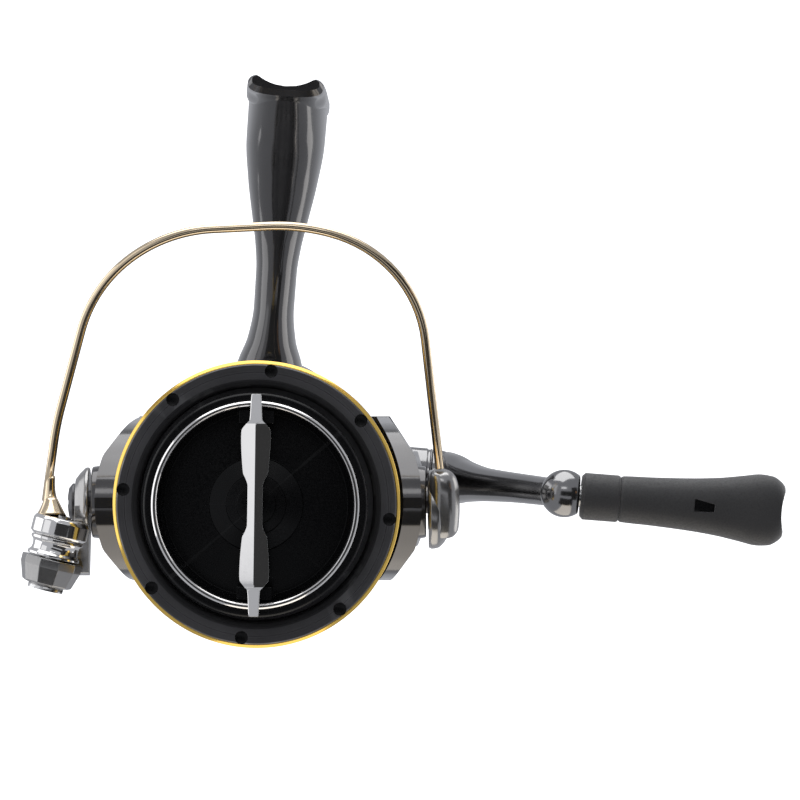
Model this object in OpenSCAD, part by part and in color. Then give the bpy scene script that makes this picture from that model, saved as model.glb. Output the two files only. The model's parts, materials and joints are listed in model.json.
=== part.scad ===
// Spinning reel, 4000 size. Millimetres, +Z up, the spool faces -Y, the handle is on +X.
// The origin is the middle of the rod seat on top of the foot.

/* [Foot] */
// length of the foot along the rod
foot_length = 64; // [58:1:70]
// radius of the rod seat hollow
seat_radius = 9.1; // [8.5:0.1:10]

/* [Spool] */
// length of the line barrel's chamfer at the rear flange
rear_chamfer = 0.9; // [0.4:0.1:1.2]
// diameter of the small sockets round the front ring
socket_diameter = 2.3; // [1.5:0.1:2.8]
// number of sockets round the front ring
socket_count = 8; // [6:1:12]

/* [Bail] */
// diameter of the bail wire
wire_diameter = 1.6; // [1.4:0.1:1.8]

/* [Handle] */
// radius of the ball boss at the end of the handle arm
ball_radius = 4.35; // [4:0.05:4.5]
// number of ribs on the drag knob's skirt
knob_ribs = 36; // [24:4:48]

/* [Node] */
// node to draw

/* [Hidden] */
$fn = 96;

// placement
foot_x = -1.5;
foot_y = -14;
seat_z = 76;

// axes of the mechanism, measured from the spool axis and the drive shaft
drive_z = 6.4;
pivot_y = -57;
bail_y = -65;
bail_angle = 73;
rotor_rest = -4.5;
worm_x = 1;
worm_z = -10;
lip_y = -75.9;
fit_gap = 0.05;

// main shaft, pinion and spool
shaft_r = 2;
pinion_bore = shaft_r + fit_gap;
barrel_r = 19;
lip_r = 25.5;
pocket_r = 20.8;
chamber_r = 15;
rim_r = 22.4;
skirt_end = -30.2;

// line roller, in the rotor's frame
roller_x = -36.2;
roller_y = -67;
roller_z = -8;
roller_lean = 14;
roller_r = 4.75;

// bail wire path in the bail's own plane, distance from the pivot line second
wire_path = [[-37.96, 0.49], [-35.91, 14.49], [-28.58, 41.45], [-14.51, 50.5],
  [7.47, 51.61], [28.2, 46.07], [32.52, 6.58]];
wire_bend = [60, 25, 26.2, 35, 22.9];

// handle
hub_x = 30.8;
ball_x = 55;
ball_y = -52;
ball_z = 5.6;
post_start = ball_x + 2.7;
grip_start = 65;
grip_end = 95.2;

// ---------- helpers ----------
module placed() {
  translate([-foot_x, -foot_y, -seat_z]) children();
}
module rotor_placed() {
  placed() rotate([0, rotor_rest, 0]) children();
}
module bail_placed() {
  rotor_placed() translate([0, bail_y, 0]) rotate([180 - bail_angle, 0, 0]) children();
}
module roller_placed() {
  rotor_placed() translate([roller_x, roller_y, roller_z]) rotate([0, roller_lean, 0])
    children();
}
// solid of revolution about the spool axis, profile points as [radius, y]
module turned(points) {
  rotate([-90, 0, 0]) rotate_extrude() polygon(points);
}
module rod_y(y0, y1, r) {
  translate([0, y0, 0]) rotate([-90, 0, 0]) cylinder(h = y1 - y0, r = r);
}
module tube_y(y0, y1, r_in, r_out) {
  turned([[r_in, y0], [r_out, y0], [r_out, y1], [r_in, y1]]);
}
module rod_x(x0, x1, r) {
  translate([x0, 0, 0]) rotate([0, 90, 0]) cylinder(h = x1 - x0, r = r);
}
module tube_x(x0, x1, r_in, r_out) {
  difference() {
    rod_x(x0, x1, r_out);
    rod_x(x0 - 1, x1 + 1, r_in);
  }
}
module block(x0, x1, y0, y1, z0, z1) {
  translate([x0, y0, z0]) cube([x1 - x0, y1 - y0, z1 - z0]);
}
// a flat shape drawn in X and Z, carried from y0 to y1
module plate_y(y0, y1) {
  translate([0, y1, 0]) rotate([90, 0, 0]) linear_extrude(y1 - y0) children();
}
// a flat shape drawn in Y and Z, carried from x0 to x1
module plate_x(x0, x1) {
  translate([x0, 0, 0]) rotate([90, 0, 90]) linear_extrude(x1 - x0) children();
}
// a flat shape drawn in X and Y, carried from z0 to z1
module plate_z(z0, z1) {
  translate([0, 0, z0]) linear_extrude(z1 - z0) children();
}
// one coordinate of a superellipse point: a is the cosine or sine, h the half size, n the squareness
function bow(a, h, n) = h * sign(a) * pow(abs(a), 2 / n);
function flat_list(l) = [for (a = l) for (b = a) b];
// skin over rings of points; flip turns the faces when the rings run the other way round
module skin(rings, flip = false) {
  n = len(rings);
  k = len(rings[0]);
  sides = [for (s = [0:n - 2]) for (i = [0:k - 1]) for (t = [0, 1])
    let (a = s * k + i, b = s * k + (i + 1) % k, c = b + k, d = a + k)
    flip ? (t == 0 ? [a, d, c] : [a, c, b]) : (t == 0 ? [a, b, c] : [a, c, d])];
  first = [for (i = [0:k - 1]) flip ? i : k - 1 - i];
  last = [for (i = [0:k - 1]) (n - 1) * k + (flip ? k - 1 - i : i)];
  polyhedron(points = flat_list(rings), faces = concat(sides, [first], [last]));
}
// sections [y, centre x, centre z, half width, half height, squareness]
module loft_y(sections, k = 32) {
  skin([for (s = sections) [for (i = [0:k - 1]) let (a = 360 * i / k)
    [s[1] + bow(cos(a), s[3], s[5]), s[0], s[2] + bow(sin(a), s[4], s[5])]]]);
}
// sections [z, centre x, centre y, half width, half depth, squareness]
module loft_z(sections, k = 32) {
  skin([for (s = sections) [for (i = [0:k - 1]) let (a = 360 * i / k)
    [s[1] + bow(cos(a), s[3], s[5]), s[2] + bow(sin(a), s[4], s[5]), s[0]]]], true);
}
// sections [x, centre y, centre z, half depth, half height, squareness]
module loft_x(sections, k = 32) {
  skin([for (s = sections) [for (i = [0:k - 1]) let (a = 360 * i / k)
    [s[0], s[1] + bow(cos(a), s[3], s[5]), s[2] + bow(sin(a), s[4], s[5])]]], true);
}
// spur gear outline with flat-topped teeth
module gear_outline(teeth, r_root, r_tip) {
  polygon([for (i = [0:teeth - 1]) for (j = [0:3])
    let (a = 360 * (i + [0.08, 0.2, 0.48, 0.6][j]) / teeth, r = [r_root, r_tip, r_tip, r_root][j])
    [r * cos(a), r * sin(a)]]);
}
// ---------- housing ----------
module case_outline() {
  loft_y([[-16.3, -0.5, 1.5, 16, 20, 2.2], [-10, -1, 3, 15.6, 21.6, 2.5], [4, -1, 4, 15.2, 22.2, 2.6],
    [16, -1, 3, 14.2, 20.6, 2.6], [27, -1, 0.5, 12.4, 17.4, 2.5], [34.6, -1, -1, 10.4, 14.6, 2.4]]);
}
module case_hollow() {
  translate([0, 0, drive_z]) rod_x(-10.3, 9.6, 15.4);
  block(-8, 9, -4, 32.3, -12.6, 5);
  block(-4.8, 7, -14.8, -3.9, -16, 5);
}
module drive_shaft_holes() {
  translate([0, 0, drive_z]) {
    rod_x(-13.9, -10.2, 8.5);
    rod_x(9.5, 13, 8.5);
    rod_x(-14.8, 20, 5.9);
    rod_x(-20, -14.7, 8.1);
  }
}
// the part of space right of the case joint, which the side cover fills
module cover_space() {
  block(6, 30, -14.9, 60, -40, 23.5);
}
cover_screw_spots = [[-12, 20], [2, -15.6], [14.5, 18], [28.5, 8.6]];
guide_spots = [[5.2, 1.6], [-2.4, -5.2]];
tail_screw_z = 5;
module stem() {
  loft_z([[16, foot_x, 0, 8.6, 13, 2.4], [26.4, foot_x, -1.4, 5.9, 12.6, 2.4],
    [30.2, foot_x, -2.6, 4.6, 11.4, 2.3], [36, foot_x, -4.2, 3.85, 9.8, 2.2],
    [43, foot_x, -6.4, 3.9, 8.8, 2.2], [48, foot_x, -8.2, 4.4, 8.7, 2.2],
    [52.3, foot_x, -9.8, 5.2, 9.4, 2.2], [60.1, foot_x, -12.4, 6.6, 12.4, 2.3],
    [67.3, foot_x, -14, 7.4, 17.5, 2.4], [74, foot_x, -14, 7.45, 25, 2.4]]);
}
module foot_plate() {
  half = foot_length / 2;
  translate([0, foot_y, 0])
    loft_y([[-half, foot_x, 76.4, 5.8, 1.7, 3], [-half * 0.8, foot_x, 76.1, 6.7, 2.1, 3],
      [-half * 0.5, foot_x, 75.3, 7.5, 2.9, 3], [half * 0.5, foot_x, 75.3, 7.5, 2.9, 3],
      [half * 0.8, foot_x, 76.1, 6.7, 2.1, 3], [half, foot_x, 76.4, 5.8, 1.7, 3]]);
}
module frame_body() {
  color([0.1, 0.1, 0.1]) placed() difference() {
    union() {
      difference() {
        union() {
          case_outline();
          rod_y(-31.5, -15, 16);
          stem();
          foot_plate();
        }
        case_hollow();
      }
      // inner walls for the pinion's rear bush and the front ends of the guide rods
      block(-4.4, 6, -7, -5, -16.5, 5.4);
      block(-4.4, 6, 4.6, 6.1, -13, 4.4);
    }
    cover_space();
    drive_shaft_holes();
    translate([foot_x, 0, seat_z + seat_radius]) rod_y(-60, 40, seat_radius);
    rod_y(-32, -24.2, 11);
    rod_y(-24.3, -18.9, 8);
    rod_y(-19, -14, 5.2);
    rod_y(-7.5, -4, 3.6);
    rod_y(4, 7, 2.6);
    translate([worm_x, 0, worm_z]) rod_y(-16.9, 33.5, 3.6);
    for (p = cover_screw_spots) translate([0, p[0], p[1]]) rod_x(1.5, 20, 1.25);
    for (p = guide_spots) translate([p[0], 0, p[1]]) rod_y(4.7, 33.6, 1.25);
    translate([-1, 0, tail_screw_z]) rod_y(33.2, 40, 1.2);
    for (a = plate_screw_angles) rotate([0, a, 0]) translate([13.2, 0, 0]) rod_y(-32, -27, 0.8);
  }
}
plate_screw_angles = [30, 150, 270];
module side_cover() {
  color([0.12, 0.12, 0.12]) placed() difference() {
    intersection() {
      case_outline();
      cover_space();
    }
    case_hollow();
    drive_shaft_holes();
    for (p = cover_screw_spots) translate([0, p[0], p[1]]) {
      rod_x(5, 20, 1.25);
      rod_x(7.4, 20, 2.35);
    }
    for (p = guide_spots) translate([p[0], 0, p[1]]) rod_y(4.7, 36, 1.3);
  }
}
module tail_cover() {
  color([0.16, 0.16, 0.16]) placed() difference() {
    loft_y([[34.65, -1, -1, 10.4, 14.6, 2.4], [38, -1, -1.6, 9.3, 12.8, 2.3],
      [41, -1, -2.6, 6.4, 8.9, 2.2], [42.4, -1, -3.4, 3, 4.6, 2]]);
    translate([-1, 0, tail_screw_z]) {
      rod_y(34, 44, 1.2);
      rod_y(37.2, 44, 2.3);
    }
  }
}
module cover_screws() {
  color([0.6, 0.6, 0.6]) placed() {
    for (p = cover_screw_spots) translate([0, p[0], p[1]]) difference() {
      union() {
        rod_x(1.6, 7.4, 1.25);
        rod_x(7.4, 8.8, 2.2);
      }
      block(8.3, 9, -1.6, 1.6, -0.3, 0.3);
      block(8.3, 9, -0.3, 0.3, -1.6, 1.6);
    }
    translate([-1, 0, tail_screw_z]) difference() {
      union() {
        rod_y(33.3, 37.2, 1.2);
        rod_y(37.2, 38.6, 2.2);
      }
      block(-1.6, 1.6, 38, 39, -0.3, 0.3);
      block(-0.3, 0.3, 38, 39, -1.6, 1.6);
    }
  }
}
module shaft_cap() {
  color([0.2, 0.2, 0.2]) placed() translate([0, 0, drive_z]) difference() {
    union() {
      rod_x(-14.7, -14, 5.9);
      rod_x(-17.2, -14.7, 8);
    }
    block(-18, -16.4, -5, 5, -0.7, 0.7);
  }
}
module drive_bearings() {
  color([0.7, 0.7, 0.7]) placed() translate([0, 0, drive_z]) {
    for (x = [-13.8, 9.7]) difference() {
      tube_x(x, x + 3.2, 4.25, 8.5);
      tube_x(x - 1, x + 0.3, 5.4, 7.4);
      tube_x(x + 2.9, x + 4, 5.4, 7.4);
    }
  }
}
module pinion_bearing() {
  color([0.7, 0.7, 0.7]) placed() difference() {
    tube_y(-24, -19, 4.05, 8);
    tube_y(-25, -23.6, 5, 7.1);
    tube_y(-19.4, -18, 5, 7.1);
  }
}
module rear_bush() {
  color([0.75, 0.6, 0.3]) placed() tube_y(-7, -5, 3.25, 3.6);
}
clutch_rollers_count = 6;
module clutch_rollers() {
  color([0.8, 0.8, 0.8]) placed() for (i = [0:clutch_rollers_count - 1])
    rotate([0, i * 360 / clutch_rollers_count, 0]) translate([6.6, 0, 0]) rod_y(-30, -24.9, 1.15);
}
module roller_clutch() {
  color([0.3, 0.3, 0.32]) placed() difference() {
    tube_y(-30.8, -24.25, 4.85, 11);
    for (i = [0:clutch_rollers_count - 1]) rotate([0, i * 360 / clutch_rollers_count, 0])
      translate([6.6, 0, 0]) rod_y(-30.1, -24.8, 1.2);
  }
}
module clutch_plate() {
  color([0.6, 0.6, 0.62]) placed() difference() {
    tube_y(-32.3, -31.55, 5.2, 15.4);
    for (a = plate_screw_angles) rotate([0, a, 0]) translate([13.2, 0, 0]) rod_y(-33, -31, 0.8);
  }
}
module plate_screws() {
  color([0.6, 0.6, 0.6]) placed() for (a = plate_screw_angles) rotate([0, a, 0])
    translate([13.2, 0, 0]) {
      rod_y(-32.3, -27.5, 0.8);
      rod_y(-32.9, -32.3, 1.6);
    }
}
module worm_bushes() {
  color([0.75, 0.6, 0.3]) placed() translate([worm_x, 0, worm_z]) {
    tube_y(-16.2, -14.85, 1.85, 3.6);
    tube_y(32.35, 33.5, 1.85, 3.6);
  }
}
module guide_rods() {
  color([0.75, 0.75, 0.75]) placed() for (p = guide_spots) translate([p[0], 0, p[1]])
    rod_y(4.75, 33.5, 1.25);
}

// ---------- handle ----------
gear_teeth = 52;
pinion_teeth = 9;
module drive_gear() {
  color([0.7, 0.6, 0.4]) placed() translate([0, 0, drive_z]) difference() {
    union() {
      rod_x(-13.6, 12.7, 4.2);
      rod_x(-9.6, -5.2, 14.6);
      for (i = [0:gear_teeth - 1]) rotate([i * 360 / gear_teeth, 0, 0])
        block(-5.3, -4.75, -0.42, 0.42, 10.7, 14.35);
    }
    rod_x(-20, 20, 2.6);
    tube_x(-10, -8.4, 6, 12.6);
  }
}
module handle_shank() {
  color([0.35, 0.35, 0.35]) placed() translate([0, 0, drive_z]) {
    rod_x(-12.8, 15.2, 2.6);
    rod_x(15.2, 17.4, 6.1);
    rod_x(17.4, 30.8, 5.2);
  }
}
module shank_seal() {
  color([0.05, 0.05, 0.05]) placed() translate([0, 0, drive_z]) tube_x(14.35, 15.15, 2.6, 5.7);
}
module handle_arm() {
  color([0.35, 0.35, 0.35]) placed() difference() {
    union() {
      translate([hub_x + 0.05, 0, drive_z]) rotate([0, 90, 0]) {
        cylinder(h = 1, r = 5.2);
        translate([0, 0, 1]) cylinder(h = 5, r1 = 5.2, r2 = 3.9);
      }
      loft_y([[-51, 53.8, 5.7, 1.8, 2.3, 2.2], [-47, 52.4, 5.8, 2.2, 2.55, 2.3],
        [-34, 47, 5.85, 2.3, 2.75, 2.3], [-20, 41.2, 5.8, 2.5, 3.15, 2.3], [-11, 37.6, 5.95, 2.7, 3.9, 2.3],
        [-5, 35.4, 6.15, 2.8, 4.7, 2.3], [0, 34, 6.3, 2.7, 4.9, 2.3], [4.6, 33.6, 6.4, 1.5, 3.2, 2.2]]);
      intersection() {
        translate([ball_x, ball_y, ball_z]) sphere(r = ball_radius);
        block(40, post_start, -70, -40, -10, 20);
      }
    }
    // lightening groove on the arm's outer face
    translate([43.7, -24, 5.9]) rotate([0, 0, -22]) block(-0.2, 3.6, -17, 11, -0.75, 0.75);
    translate([0, ball_y, ball_z]) rod_x(post_start - 3, post_start + 1, 2);
  }
}
module knob_post() {
  color([0.75, 0.75, 0.75]) placed() translate([0, ball_y, ball_z]) {
    rod_x(post_start - 3, 92.2, 2);
    rod_x(90.9, 92.2, 2.7);
  }
}
module knob_bushes() {
  color([0.75, 0.75, 0.75]) placed() translate([0, ball_y, ball_z]) {
    tube_x(58.5, 61.5, 2.06, 3.3);
    tube_x(84, 87, 2.06, 3.3);
  }
}
module knob_collar() {
  color([0.12, 0.12, 0.12]) placed() translate([0, ball_y, ball_z]) difference() {
    union() {
      translate([58, 0, 0]) rotate([0, 90, 0]) cylinder(h = 0.6, r1 = 3.7, r2 = 4.27);
      rod_x(58.6, grip_start, 4.27);
    }
    rod_x(57, 61.5, 3.3);
    rod_x(60, 70, 2.4);
  }
}
module knob_grip() {
  color([0.15, 0.15, 0.15]) placed() translate([0, ball_y, ball_z]) difference() {
    loft_x([[grip_start + 0.05, 0, 0, 4.15, 4.15, 2], [71, 0, 0, 4.3, 4.4, 2.1], [78, 0, 0, 4.5, 4.8, 2.2],
      [83, 0, 0, 4.8, 5.3, 2.3], [87, 0, 0, 5.1, 5.95, 2.4], [90.5, 0, 0, 5.3, 6.5, 2.5],
      [92.6, 0, 0, 5.1, 6.3, 2.5], [94.2, 0, 0, 4.7, 5.4, 2.4], [grip_end, 0, 0, 4, 4.2, 2.3]]);
    rod_x(60, 90.5, 2.4);
    rod_x(83.9, 87.1, 3.3);
    rod_x(87, 93, 3.3);
    // hollowed end face
    translate([grip_end + 14.2, 10, 0]) rotate([90, 0, 0]) cylinder(h = 20, r = 15);
    translate([80.4, -3.7, 0]) rotate([90, 0, 0]) linear_extrude(3)
      polygon([[-1.9, -0.8], [1.7, -1.2], [1.9, 1.2], [-1.7, 1.2]]);
  }
}
module knob_inlay() {
  color([0.02, 0.02, 0.02]) placed() translate([80.4, ball_y - 3.75, ball_z]) rotate([90, 0, 0])
    linear_extrude(0.4) polygon([[-1.85, -0.75], [1.65, -1.15], [1.85, 1.15], [-1.65, 1.15]]);
}

// ---------- rotor ----------
module pinion() {
  color([0.7, 0.6, 0.4]) rotor_placed() difference() {
    union() {
      rod_y(-41.3, -31.5, 3.9);
      rod_y(-31.5, -17, 4);
      plate_y(-17, -8) gear_outline(pinion_teeth, 3.4, 4.6);
      rod_y(-8.1, -5.1, 3.2);
    }
    rod_y(-50, 0, pinion_bore);
  }
}
module clutch_sleeve() {
  color([0.7, 0.7, 0.7]) rotor_placed() tube_y(-31.4, -24.3, 4, 4.8);
}
arm_in = 26;
arm_out = 29.4;
arm_reach = 30.2;
module arm_side_view() {
  polygon([[-17, -15.5], [-17, 15.5], [-30, 15.2], [-45, 14.4], [-52, 13.2], [pivot_y, 10.8],
    [-60, 8], [-62.5, 5.2], [-62.5, -5.2], [-60, -8], [pivot_y, -10.8], [-52, -13.2],
    [-45, -14.4], [-30, -15.2]]);
}
// the arms seen from the front: flat chamfers run from the outer face towards the spool
module arm_front_view() {
  polygon([[15, -15.6], [23.44, -15.6], [31, -4.15], [31, 4.15], [23.44, 15.6], [15, 15.6]]);
}
module both_sides() {
  children();
  mirror([1, 0, 0]) children();
}
module rotor() {
  color([0.08, 0.08, 0.08]) rotor_placed() difference() {
    union() {
      turned([[3.9, -36.5], [20.2, -36.5], [20.2, -43.8], [21.9, -43.8], [21.9, -20.5], [24.8, -20.5],
        [25.2, -20.1], [25.2, -17.4], [24.8, -17], [17.2, -17], [17.2, -33.5], [3.9, -33.5]]);
      both_sides() {
        intersection() {
          plate_x(15, 40) arm_side_view();
          plate_y(-70, -10) arm_front_view();
          tube_y(-70, -17, arm_in, arm_out);
        }
        // root of the arm on the rim
        intersection() {
          plate_y(-20.4, -17.1) arm_front_view();
          tube_y(-30, -10, 18, 28.5);
        }
        difference() {
          translate([0, pivot_y, 0]) rod_x(23, arm_reach, 8.3);
          rod_y(-80, -17, arm_in);
        }
      }
    }
    both_sides() {
      translate([0, pivot_y, 0]) rod_x(20, 40, 2);
      block(26.9, 40, -46, -26, -3.4, 3.4);
    }
    rod_y(-60, 0, 3.9);
  }
}
module rotor_nut() {
  color([0.7, 0.7, 0.7]) rotor_placed() difference() {
    plate_y(-40.4, -36.5) circle(r = 7, $fn = 6);
    rod_y(-50, -30, 3.9);
  }
}
module nut_lock() {
  color([0.6, 0.6, 0.6]) rotor_placed() {
    difference() {
      tube_y(-37.4, -36.5, 7.1, 11.5);
      block(-2, 2, -40, -30, 0, 20);
    }
    translate([0, 0, -9.4]) rod_y(-38.2, -37.4, 1.4);
  }
}
module arm_covers() {
  color([0.2, 0.2, 0.2]) rotor_placed() both_sides() intersection() {
    plate_x(15, 40) polygon([[-23, -9], [-23, 9], [-45, 6.6], [-48.4, 4.5], [-48.4, -4.5], [-45, -6.6]]);
    tube_y(-70, -17, arm_out, arm_out + 0.7);
  }
}
coil_turns = 9;
coil_steps = 14;
coil_r = 0.85;
coil_pitch = 1.85;
coil_wire_r = 0.24;
module bail_spring() {
  color([0.7, 0.7, 0.7]) rotor_placed() translate([-28.1, -28, 0]) rotate([90, 0, 0])
    skin([for (k = [0:coil_turns * coil_steps]) let (a = 360 * k / coil_steps)
      [for (b = [0:60:300]) let (r = coil_r + coil_wire_r * cos(b))
        [r * cos(a), r * sin(a), coil_pitch * a / 360 + coil_wire_r * sin(b)]]]);
}
module spring_guide() {
  color([0.5, 0.5, 0.5]) rotor_placed() translate([-28.1, 0, 0]) rod_y(-45.9, -27, 0.5);
}
module trip_lever() {
  color([0.6, 0.6, 0.6]) rotor_placed() difference() {
    union() {
      plate_x(27, 28.6) polygon([[-45.6, -1.4], [-45.6, 1.4], [-36, 2.4], [-26.6, 1.2],
        [-26.6, -1.2], [-36, -2.4]]);
      translate([0, -36, 0]) rod_x(27, 28.6, 2.9);
    }
    translate([0, -36, 0]) rod_x(20, 40, 0.9);
  }
}
module pivot_screws() {
  color([0.75, 0.75, 0.75]) rotor_placed() both_sides() translate([0, pivot_y, 0]) difference() {
    union() {
      rod_x(26.9, 33.2, 2);
      rod_x(33.2, 34.6, 3.4);
    }
    block(34, 35, -2.4, 2.4, -0.4, 0.4);
  }
}

// ---------- bail ----------
wire_r = wire_diameter / 2;
function unit(v) = v / norm(v);
// round hole or rod along the wire's end, from a towards b
module wire_piece(a, b) {
  d = b - a;
  translate([a[0], a[1], 0]) rotate([0, 0, atan2(d[1], d[0])]) rod_x(0, norm(d), wire_r);
}
function spin(v, a) = [v[0] * cos(a) - v[1] * sin(a), v[0] * sin(a) + v[1] * cos(a)];
function leg(i) = unit(wire_path[i] - wire_path[i - 1]);
function turn(i) = acos(leg(i) * leg(i + 1));
function bend_centre(i) = wire_path[i] - leg(i) * wire_bend[i - 1] * tan(turn(i) / 2)
  + spin(leg(i), -90) * wire_bend[i - 1];
bend_steps = 9;
corner_count = len(wire_path);
// stations [point, direction] along the wire, through bends that all turn the same way
wire_stations = concat([[wire_path[0], leg(1)]],
  [for (i = [1:corner_count - 2]) for (k = [0:bend_steps]) let (a = -turn(i) * k / bend_steps)
    [bend_centre(i) - spin(spin(leg(i), -90), a) * wire_bend[i - 1], spin(leg(i), a)]],
  [[wire_path[corner_count - 1], leg(corner_count - 1)]]);
wire_sides = 14;
module bail_wire() {
  color([0.85, 0.8, 0.75]) bail_placed()
    skin([for (st = wire_stations) [for (i = [0:wire_sides - 1])
      let (a = 360 * i / wire_sides, side = spin(st[1], 90) * wire_r * cos(a))
      [st[0][0] + side[0], st[0][1] + side[1], wire_r * sin(a)]]], true);
}
module wire_cone() {
  color([0.85, 0.8, 0.7]) difference() {
    union() {
      roller_placed() translate([0, 0, 1.9]) {
        cylinder(h = 0.6, r1 = 4.6, r2 = 5.1);
        translate([0, 0, 0.6]) cylinder(h = 2.3, r = 5.1);
        translate([0, 0, 2.9]) cylinder(h = 0.6, r1 = 5.1, r2 = 4.5);
      }
      hull() {
        roller_placed() translate([0, 0, 3.9]) cylinder(h = 1.3, r = 4.2, $fn = 32);
        bail_placed() translate([wire_path[0][0] + 0.35, wire_path[0][1] + 2.2, 0]) sphere(r = 1.35, $fn = 24);
      }
    }
    bail_placed() wire_piece(wire_path[0], wire_path[1]);
    roller_placed() cylinder(h = 6, r = 1.5);
  }
}
knee = [-32, -58.6, -11];
module arm_lever() {
  color([0.3, 0.3, 0.32]) difference() {
    union() {
      rotor_placed() {
        translate([0, pivot_y, 0]) rod_x(-33.2, -30.55, 6.3);
        plate_x(-33.2, -30.55) polygon([[-62.9, -2.2], [-61.4, -12.6], [-56, -13.4], [-51.2, -2.5]]);
      }
      hull() {
        rotor_placed() translate(knee) rotate([0, 90, 0]) cylinder(h = 2.2, r = 2.45, center = true, $fn = 32);
        roller_placed() translate([0, 0, -5.9]) cylinder(h = 3, r = 3.4, $fn = 32);
      }
      roller_placed() {
        translate([0, 0, -3.6]) cylinder(h = 1.6, r = 5.5, $fn = 10);
        translate([0, 0, -6.8]) cylinder(h = 3.2, r1 = 4.4, r2 = 5.5, $fn = 10);
      }
    }
    rotor_placed() translate([0, pivot_y, 0]) rod_x(-40, -20, 2.06);
    roller_placed() {
      translate([0, 0, -1.9]) cylinder(h = 20, r = 5.45);
      translate([0, 0, -9]) cylinder(h = 20, r = 1.5);
    }
  }
}
module bail_holder() {
  color([0.3, 0.3, 0.32]) difference() {
    union() {
      rotor_placed() loft_x([[30.55, -59.6, -1.2, 8.6, 7.2, 2.3], [32.4, -59.7, -1.3, 8.4, 7, 2.3],
        [34.2, -59.6, -1.5, 7, 5.9, 2.2], [35.5, -59.3, -1.8, 5, 4.2, 2.1], [36.2, -59, -2, 2.8, 2.2, 2]], 28);
      bail_placed() translate([wire_path[6][0], 1, 0]) rotate([-90, 0, 0]) cylinder(h = 6.6, r1 = 2.4, r2 = 1.7);
    }
    bail_placed() wire_piece(wire_path[6], wire_path[6] + (wire_path[5] - wire_path[6]) * 0.5);
    rotor_placed() {
      translate([0, pivot_y, 0]) {
        rod_x(20, 40, 2.06);
        rod_x(33.2, 40, 3.7);
      }
      block(20, 30.5, -90, -40, -30, 30);
    }
  }
}
module roller_screw() {
  color([0.75, 0.75, 0.75]) roller_placed() difference() {
    union() {
      translate([0, 0, -6.8]) cylinder(h = 12.7, r = 1.5);
      translate([0, 0, -7.7]) cylinder(h = 0.9, r = 3.2);
    }
    translate([-2.4, -0.35, -8]) cube([4.8, 0.7, 0.8]);
  }
}
module line_roller() {
  color([0.85, 0.85, 0.85]) roller_placed() rotate_extrude() polygon([[3, -1.75], [roller_r, -1.75],
    [roller_r, -1.2], [4.1, -0.5], [4.1, 0.5], [roller_r, 1.2], [roller_r, 1.75], [3, 1.75]]);
}
module roller_bush() {
  color([0.75, 0.6, 0.3]) roller_placed() difference() {
    translate([0, 0, -1.6]) cylinder(h = 3.2, r = 3);
    translate([0, 0, -3]) cylinder(h = 6, r = 1.56);
  }
}

// ---------- main shaft and oscillation ----------
slider_y = 19;
module main_shaft() {
  color([0.75, 0.75, 0.75]) placed() rod_y(-75.5, 22.9, shaft_r);
}
module slider_block() {
  color([0.7, 0.6, 0.4]) placed() difference() {
    block(-4, 7.2, slider_y - 4, slider_y + 4, -6.8, 3.6);
    rod_y(0, 22.9, shaft_r);
    for (p = guide_spots) translate([p[0], 0, p[1]]) rod_y(0, 40, 1.31);
    translate([worm_x, slider_y, -10]) cylinder(h = 6.2, r = 1.4);
  }
}
module slider_pawl() {
  color([0.75, 0.75, 0.75]) placed() translate([worm_x, slider_y, -7.3]) cylinder(h = 3.5, r = 1.4);
}
module spool_seat() {
  color([0.75, 0.6, 0.3]) placed() turned([[shaft_r, -62.9], [4.05, -62.9], [4.05, -52.9],
    [6.4, -52.9], [6.4, -51], [shaft_r, -51]]);
}
drag_step = 2.2;
module drag_plates() {
  color([0.7, 0.7, 0.7]) placed() for (i = [0:2])
    tube_y(-65.3 - i * drag_step, -64.3 - i * drag_step, shaft_r, 14.5);
}

// ---------- spool ----------
module spool_body() {
  color([0.15, 0.15, 0.15]) placed() turned([[chamber_r, -72.4], [pocket_r, -72.4], [pocket_r, -75.9],
    [rim_r, -75.9], [rim_r, -70.9], [barrel_r, -70.2], [barrel_r, -55.9], [barrel_r + rear_chamfer, -55.1],
    [24.9, -54.4], [25.3, -54], [25.3, skirt_end - 0.3], [25, skirt_end], [23.7, skirt_end],
    [23.7, -52.8], [17.4, -52.8], [17.4, -61], [7, -61], [7, -53], [4.1, -53], [4.1, -63],
    [chamber_r, -63]]);
}
module spool_lip() {
  color([0.85, 0.65, 0.2]) placed() turned([[rim_r, -75.9], [25.1, -75.9], [lip_r, -75.5],
    [lip_r, -73.8], [24.9, -72.6], [rim_r, -71]]);
}
module front_ring() {
  color([0.15, 0.15, 0.15]) placed() difference() {
    turned([[20.85, lip_y - 0.05], [25, lip_y - 0.05], [25, -76.4], [24.7, -76.6], [21.5, -76.6], [20.85, -76.2]]);
    for (i = [0:socket_count - 1]) rotate([0, 1.9 - i * 360 / socket_count, 0])
      translate([23.7, 0, 0]) rod_y(-77, -75, socket_diameter / 2);
  }
}
module line_clip() {
  color([0.6, 0.6, 0.6]) placed() rotate([0, 60, 0]) intersection() {
    plate_x(10, 40) polygon([[-43.6, -1.2], [-43.6, 1.2], [-42, 2], [-38, 1.2], [-38, -1.2], [-42, -2]]);
    tube_y(-60, -30, 25.3, 25.7);
  }
}
module drag_felts() {
  color([0.1, 0.1, 0.1]) placed() for (i = [0:2])
    tube_y(-64.2 - i * drag_step, -63.1 - i * drag_step, 5.2, 14.9);
}
module drag_snap_ring() {
  color([0.7, 0.7, 0.7]) placed() difference() {
    tube_y(-70.7, -70, 13.4, 14.95);
    block(-2, 2, -80, -60, 0, 20);
  }
}
module click_ring() {
  color([0.7, 0.7, 0.7]) placed() difference() {
    plate_y(-60.95, -59.7) gear_outline(36, 11.6, 12.6);
    rod_y(-70, -50, 8);
  }
}

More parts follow.
